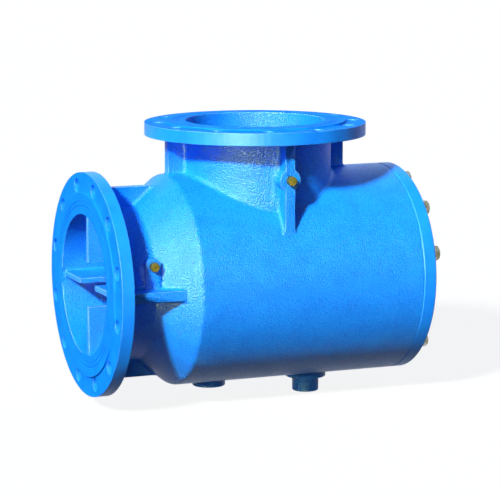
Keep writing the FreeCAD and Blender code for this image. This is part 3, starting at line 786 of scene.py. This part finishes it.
def rolledTree():
    # rows of cells laid out flat, every other row half a pitch on, then rolled into a cylinder about X
    tree, names, given = newTree("rolledSheet", {
        "Cell": "Object", "Low Rim": "Object", "High Rim": "Object", "Rows": "Int", "Around": "Int",
        "Row Pitch": "Float", "Low Rim Middle": "Float", "First Row": "Float", "High Rim Middle": "Float",
        "Radius": "Float", "Finish": "Material"})
    index = add(tree, "GeometryNodeInputIndex")
    turn = add(tree, "ShaderNodeMath", {0: 2 * math.pi, 1: given["Around"]}, operation="DIVIDE")
    pitch = add(tree, "ShaderNodeMath", {0: turn, 1: given["Radius"]}, operation="MULTIPLY")
    rowShare = add(tree, "ShaderNodeMath", {0: index, 1: given["Around"]}, operation="DIVIDE")
    row = add(tree, "ShaderNodeMath", {0: rowShare}, operation="FLOOR")
    before = add(tree, "ShaderNodeMath", {0: row, 1: given["Around"]}, operation="MULTIPLY")
    column = add(tree, "ShaderNodeMath", {0: index, 1: before}, operation="SUBTRACT")
    odd = add(tree, "ShaderNodeMath", {0: row, 1: 2.0}, operation="MODULO")
    shifted = add(tree, "ShaderNodeMath", {0: odd, 1: 0.5, 2: column}, operation="MULTIPLY_ADD")
    across = add(tree, "ShaderNodeMath", {0: shifted, 1: pitch}, operation="MULTIPLY")
    alongX = add(tree, "ShaderNodeMath", {0: row, 1: given["Row Pitch"], 2: given["First Row"]},
                 operation="MULTIPLY_ADD")
    total = add(tree, "ShaderNodeMath", {0: given["Rows"], 1: given["Around"]}, operation="MULTIPLY")
    joined = add(tree, "GeometryNodeJoinGeometry")
    for label, count, x in (("Cell", total, alongX),
                            ("Low Rim", given["Around"], given["Low Rim Middle"]),
                            ("High Rim", given["Around"], given["High Rim Middle"])):
        spot = add(tree, "ShaderNodeCombineXYZ", {"X": x, "Y": across})
        points = add(tree, "GeometryNodePoints", {"Count": count, "Position": spot})
        shape = add(tree, "GeometryNodeObjectInfo", {"Object": given[label]})
        laid = add(tree, "GeometryNodeInstanceOnPoints", {
            "Points": points, "Instance": shape.outputs["Geometry"]})
        tree.links.new(laid.outputs[0], joined.inputs[0])
    flat = add(tree, "GeometryNodeRealizeInstances", {"Geometry": joined})
    where = add(tree, "ShaderNodeSeparateXYZ", {0: add(tree, "GeometryNodeInputPosition")})
    angle = add(tree, "ShaderNodeMath", {0: where.outputs["Y"], 1: given["Radius"]}, operation="DIVIDE")
    reach = add(tree, "ShaderNodeMath", {0: given["Radius"], 1: where.outputs["Z"]}, operation="ADD")
    minus = add(tree, "ShaderNodeMath", {0: reach, 1: -1.0}, operation="MULTIPLY")
    sine = add(tree, "ShaderNodeMath", {0: angle}, operation="SINE")
    cosine = add(tree, "ShaderNodeMath", {0: angle}, operation="COSINE")
    y = add(tree, "ShaderNodeMath", {0: sine, 1: minus}, operation="MULTIPLY")
    z = add(tree, "ShaderNodeMath", {0: cosine, 1: reach}, operation="MULTIPLY")
    rolledSpot = add(tree, "ShaderNodeCombineXYZ", {"X": where.outputs["X"], "Y": y, "Z": z})
    rolled = add(tree, "GeometryNodeSetPosition", {"Geometry": flat, "Position": rolledSpot})
    merged = add(tree, "GeometryNodeMergeByDistance", {"Geometry": rolled, "Distance": rolledSame * mm})
    closeTree(tree, merged, given["Finish"])
    return tree, names


def rolledPiece(name, look, finish):
    tree, names = rolledTree()
    across = 2 * math.pi * look["outer"] / look["around"]
    rowsStart = look["firstRow"] - look["rowPitch"] / 2
    rowsEnd = rowsStart + look["rows"] * look["rowPitch"]
    thick = look["thick"] * mm
    cell = newObject(name + "Cell", cellMesh(name + "Cell", look["rowPitch"] * mm, across * mm, thick,
                                             look["hole"] * mm))
    low = newObject(name + "Low", rimMesh(name + "Low", (rowsStart - look["start"]) * mm, across * mm,
                                          thick, -1))
    high = newObject(name + "High", rimMesh(name + "High", (look["end"] - rowsEnd) * mm, across * mm,
                                            thick, 1))
    mesh = grow(name, tree, names, {
        "Cell": cell, "Low Rim": low, "High Rim": high, "Rows": look["rows"], "Around": look["around"],
        "Row Pitch": look["rowPitch"] * mm, "First Row": look["firstRow"] * mm,
        "Low Rim Middle": (rowsStart + look["start"]) / 2 * mm,
        "High Rim Middle": (rowsEnd + look["end"]) / 2 * mm, "Radius": look["outer"] * mm, "Finish": finish})
    for helper in (cell, low, high):
        bpy.data.objects.remove(helper)
    return mesh


def screenPiece():
    mesh = rolledPiece("perforatedScreen", screenLook, rolledSheet)
    shadeByAngle(mesh, screenLook["sharpAngle"])
    finishPiece(newObject("perforatedScreen", mesh), "basket", "stainless_sheet", "strainer_screen")


screenPiece()
print("scene: perforated screen rolled")

# woven wire of 0.5 mm; its openings are drawn three times as wide as the real ones, so that they show
sleeveLook = {"radius": 150.7, "start": 140.5, "end": 622.7, "wire": 0.25, "pitch": 3.0, "layer": 0.15,
              "ringSides": 96, "wireSides": 4, "sharpAngle": 80}


def sleeveTree():
    # fine start-up mesh: rings of wire with straight wires laid along them
    tree, names, given = newTree("wireSleeve", {
        "Radius": "Float", "Start": "Float", "End": "Float", "Pitch": "Float", "Wire": "Float",
        "Layer": "Float", "Wires": "Int", "Rings": "Int", "Ring Sides": "Int", "Finish": "Material"})
    profile = add(tree, "GeometryNodeCurvePrimitiveCircle", {
        "Resolution": sleeveLook["wireSides"], "Radius": given["Wire"]})
    inside = add(tree, "ShaderNodeMath", {0: given["Radius"], 1: given["Layer"]}, operation="SUBTRACT")
    outside = add(tree, "ShaderNodeMath", {0: given["Radius"], 1: given["Layer"]}, operation="ADD")
    ringCurve = add(tree, "GeometryNodeCurvePrimitiveCircle", {
        "Resolution": given["Ring Sides"], "Radius": inside})
    ring = add(tree, "GeometryNodeCurveToMesh", {"Curve": ringCurve, "Profile Curve": profile})
    first = add(tree, "ShaderNodeCombineXYZ", {"X": given["Start"]})
    step = add(tree, "ShaderNodeCombineXYZ", {"X": given["Pitch"]})
    line = add(tree, "GeometryNodeMeshLine", {
        "Count": given["Rings"], "Start Location": first, "Offset": step}, mode="OFFSET")
    rings = add(tree, "GeometryNodeInstanceOnPoints", {
        "Points": line, "Instance": ring, "Rotation": Euler((0, math.pi / 2, 0))})
    last = add(tree, "ShaderNodeCombineXYZ", {"X": given["End"]})
    straight = add(tree, "GeometryNodeCurvePrimitiveLine", {"Start": first, "End": last})
    wire = add(tree, "GeometryNodeCurveToMesh", {
        "Curve": straight, "Profile Curve": profile, "Fill Caps": True})
    circle = add(tree, "GeometryNodeMeshCircle", {"Vertices": given["Wires"], "Radius": outside})
    turned = add(tree, "GeometryNodeTransform", {"Geometry": circle, "Rotation": aboutX.to_euler()})
    wires = add(tree, "GeometryNodeInstanceOnPoints", {"Points": turned, "Instance": wire})
    joined = add(tree, "GeometryNodeJoinGeometry")
    tree.links.new(wires.outputs[0], joined.inputs[0])
    tree.links.new(rings.outputs[0], joined.inputs[0])
    closeTree(tree, joined, given["Finish"])
    return tree, names


def sleevePiece():
    tree, names = sleeveTree()
    length = sleeveLook["end"] - sleeveLook["start"]
    mesh = grow("startUpMesh", tree, names, {
        "Radius": sleeveLook["radius"] * mm, "Start": (sleeveLook["start"] + sleeveLook["wire"]) * mm,
        "End": (sleeveLook["end"] - sleeveLook["wire"]) * mm, "Pitch": sleeveLook["pitch"] * mm,
        "Wire": sleeveLook["wire"] * mm, "Layer": sleeveLook["layer"] * mm,
        "Wires": round(2 * math.pi * sleeveLook["radius"] / sleeveLook["pitch"]),
        "Rings": int(length / sleeveLook["pitch"]) + 1, "Ring Sides": sleeveLook["ringSides"],
        "Finish": drawnWire})
    shadeByAngle(mesh, sleeveLook["sharpAngle"])
    finishPiece(newObject("startUpMesh", mesh), "basket", "stainless_mesh", "startup_mesh")


sleevePiece()
print("scene: start-up mesh wound")

clampLook = {"middles": (156.5, 606.7), "outer": 152.1, "thick": 0.9, "width": 12, "around": 300,
             "slot": 7.0, "slotWidth": 1.2, "slotRim": 1, "housing": (14, 26, 9), "housingEdge": 3,
             "housingSink": 0.2, "edgeSteps": 5, "inner": 151.2, "sharpAngle": 30}
clampScrew = {"thread": 6 * mm, "flats": 8 * mm, "head": 6 * mm, "dish": 0.4 * mm, "plain": 1 * mm,
              "length": 26 * mm, "lead": 1 * mm, "depth": 0.7 * mm, "pitch": 3 * mm, "sides": 24}


def clampHousing(bands, middle, base):
    # the screw's housing: a block whose two long top edges are rounded
    length, width, height = clampLook["housing"]
    box = bmesh.ops.create_cube(bands, size=1)["verts"]
    bmesh.ops.scale(bands, vec=Vector((length, width, height)) * mm, verts=box)
    bmesh.ops.translate(bands, vec=Vector((middle, 0, base + height / 2)) * mm, verts=box)
    top = [edge for edge in bands.edges
           if all(v in box and v.co.z > (base + height / 2) * mm for v in edge.verts)
           and abs(edge.verts[0].co.y - edge.verts[1].co.y) > mm]
    bmesh.ops.bevel(bands, geom=top, offset=clampLook["housingEdge"] * mm, segments=clampLook["edgeSteps"],
                    affect="EDGES", profile=0.5)


def clampPieces():
    bands = bmesh.new()
    screws = bmesh.new()
    for middle in clampLook["middles"]:
        band = {"outer": clampLook["outer"], "thick": clampLook["thick"], "firstRow": middle, "rows": 1,
                "start": middle - clampLook["width"] / 2, "end": middle + clampLook["width"] / 2,
                "around": clampLook["around"], "rowPitch": clampLook["slot"] + clampLook["slotRim"],
                "hole": clampLook["slotWidth"]}
        bands.from_mesh(rolledPiece("clampBand", band, rolledSheet))
        clampHousing(bands, middle, clampLook["inner"] - clampLook["housingSink"])
        screw = hexScrew("clampScrew", clampScrew, boltSteel)
        width, height = clampLook["housing"][1:]
        turnTo(screw, (0, -1, 0), (middle, -width / 2, clampLook["inner"] + height / 2))
        screws.from_mesh(screw)
    bandMesh = plainMesh(bands, "clampBands")
    bandMesh.materials.append(rolledSheet)
    shadeByAngle(bandMesh, clampLook["sharpAngle"])
    finishPiece(newObject("clampBands", bandMesh), "basket", "stainless_sheet", "mesh_clamp_bands")
    screwMesh = plainMesh(screws, "clampScrews")
    screwMesh.materials.append(boltSteel)
    shadeByAngle(screwMesh, lathe["sharpAngle"])
    finishPiece(newObject("clampScrews", screwMesh), "basket", "plated_steel", "mesh_clamp_screws")


clampPieces()
print("scene: clamps made")

# weld runs: plane, centre in Y, half widths in Y and Z, bead radius; a run with equal widths is round
weldRuns = {"seat": (137.3, 0, 150.5, 150.5, 1.3), "endBand": (625.9, 0, 150.5, 150.5, 1.3),
            "endPlate": (623.2, 0, 146.6, 146.6, 1.1), "handleFront": (615.2, -52.5, 3.0, 13.0, 1.0),
            "handleBack": (615.2, 52.5, 3.0, 13.0, 1.0)}
# the smallest bead as a share of the largest, how far beads turn in radians, how far apart they are as a
# share of their radius, and the step of a round run in degrees
weldLook = {"least": 0.82, "turn": 6, "apart": 1.1, "step": 3, "sharpAngle": 80}


def weldTree():
    # overlapping beads along a closed line, each a little different
    tree, names, given = newTree("weldRun", {
        "Line": "Object", "Beads": "Int", "Bead": "Float", "Seed": "Int", "Finish": "Material"})
    line = add(tree, "GeometryNodeObjectInfo", {"Object": given["Line"]})
    curve = add(tree, "GeometryNodeMeshToCurve", {"Mesh": line.outputs["Geometry"]})
    points = add(tree, "GeometryNodeCurveToPoints", {"Curve": curve, "Count": given["Beads"]})
    bead = add(tree, "GeometryNodeMeshIcoSphere", {"Radius": given["Bead"], "Subdivisions": 1})
    size = add(tree, "FunctionNodeRandomValue", {2: weldLook["least"], 3: 1.0, "Seed": given["Seed"]},
               data_type="FLOAT")
    most = weldLook["turn"]
    spin = add(tree, "FunctionNodeRandomValue", {0: (0, 0, 0), 1: (most, most, most), "Seed": given["Seed"]},
               data_type="FLOAT_VECTOR")
    placed = add(tree, "GeometryNodeInstanceOnPoints", {
        "Points": points, "Instance": bead, "Rotation": spin, "Scale": size.outputs[1]})
    closeTree(tree, placed, given["Finish"])
    return tree, names


def weldPiece():
    tree, names = weldTree()
    work = bmesh.new()
    turns = [math.radians(degrees) for degrees in range(0, 360, weldLook["step"])]
    for number, (plane, middle, halfY, halfZ, bead) in enumerate(weldRuns.values()):
        if halfY == halfZ:
            corners = [(math.cos(turn), math.sin(turn)) for turn in turns]
        else:
            corners = [(1, 1), (-1, 1), (-1, -1), (1, -1)]
        spots = [Vector((plane, middle + halfY * c, halfZ * s)) * mm for c, s in corners]
        closed = list(zip(range(len(spots)), [*range(1, len(spots)), 0]))
        length = sum((spots[a] - spots[b]).length for a, b in closed)
        mesh = bpy.data.meshes.new("weldLine")
        mesh.from_pydata(spots, closed, [])
        line = newObject("weldLine", mesh)
        beads = round(length / (bead * weldLook["apart"] * mm))
        run = grow("weldRun", tree, names, {
            "Line": line, "Beads": beads, "Bead": bead * mm, "Seed": number, "Finish": rolledSheet})
        bpy.data.objects.remove(line)
        work.from_mesh(run)
    mesh = plainMesh(work, "weldRuns")
    mesh.materials.append(rolledSheet)
    shadeByAngle(mesh, weldLook["sharpAngle"])
    finishPiece(newObject("weldRuns", mesh), "basket", "stainless_sheet")


weldPiece()
print("scene: welds run")

# nodes that keep their own shape
keptNodes = {"screen_seat_ring": turnedSteel, "screen_end_band": turnedSteel, "screen_handle": turnedSteel,
             "screen_end_plate": rolledSheet, "screen_hoops": rolledSheet, "screen_seat_gasket": gasketFibre}
for node, finish in keptNodes.items():
    for slot in nodes[node].material_slots:
        slot.material = finish
print("scene: kept nodes finished")
